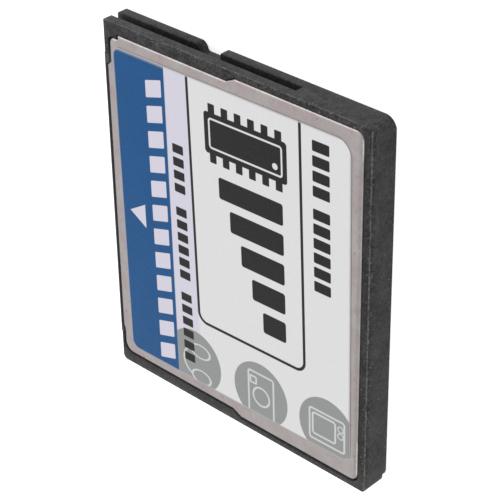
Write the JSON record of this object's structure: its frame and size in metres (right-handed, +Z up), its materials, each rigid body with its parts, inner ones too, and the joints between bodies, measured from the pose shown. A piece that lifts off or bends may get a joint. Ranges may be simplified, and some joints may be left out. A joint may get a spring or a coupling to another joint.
{
  "type": "flash memory card",
  "caption": "Flat memory card: dark plastic frame with guide grooves and keying notches, pressed metal covers, a film label and a two-row socket along one edge.",
  "frame": {"origin": "middle of the card's outline, on the plane of the lower face", "axes": "+X across the card towards the wide groove, +Y from the connector edge to the pull edge, +Z up through the label"},
  "size_m": [0.0428, 0.0364, 0.0034],
  "materials": {
    "frame_plastic": "fine moulded texture, slightly scuffed edges",
    "cover_steel": "satin, faintly mottled",
    "label_film": "printed film, satin",
    "socket_plastic": "fine moulded texture",
    "gold_plate": "gold-coloured plating",
    "board_laminate": "green solder mask over laminate",
    "chip_resin": "moulded resin",
    "lead_tin": "tinned",
    "can_metal": "satin metal lid on a ceramic base",
    "resistor_ceramic": "coated ceramic with tinned ends",
    "capacitor_ceramic": "sintered ceramic with tinned ends"
  },
  "bodies": {
    "root": {"frame": "frame_plastic", "top_cover": "cover_steel", "bottom_cover": "cover_steel", "label": "label_film", "connector_housing": "socket_plastic", "contact_row_upper": "gold_plate", "contact_row_lower": "gold_plate", "circuit_board": "board_laminate", "controller_chip": "chip_resin", "controller_leads": "lead_tin", "flash_chip_front": "chip_resin", "flash_leads_front": "lead_tin", "flash_chip_rear": "chip_resin", "flash_leads_rear": "lead_tin", "crystal_can": "can_metal", "regulator_chip": "chip_resin", "regulator_leads": "lead_tin", "resistor_pack_1": "resistor_ceramic", "resistor_pack_2": "resistor_ceramic", "resistor_pack_3": "resistor_ceramic", "resistor_pack_4": "resistor_ceramic", "capacitor_1": "capacitor_ceramic", "capacitor_2": "capacitor_ceramic", "capacitor_3": "capacitor_ceramic", "capacitor_4": "capacitor_ceramic", "capacitor_5": "capacitor_ceramic", "capacitor_6": "capacitor_ceramic", "capacitor_7": "capacitor_ceramic", "capacitor_8": "capacitor_ceramic"}
  },
  "joints": []
}
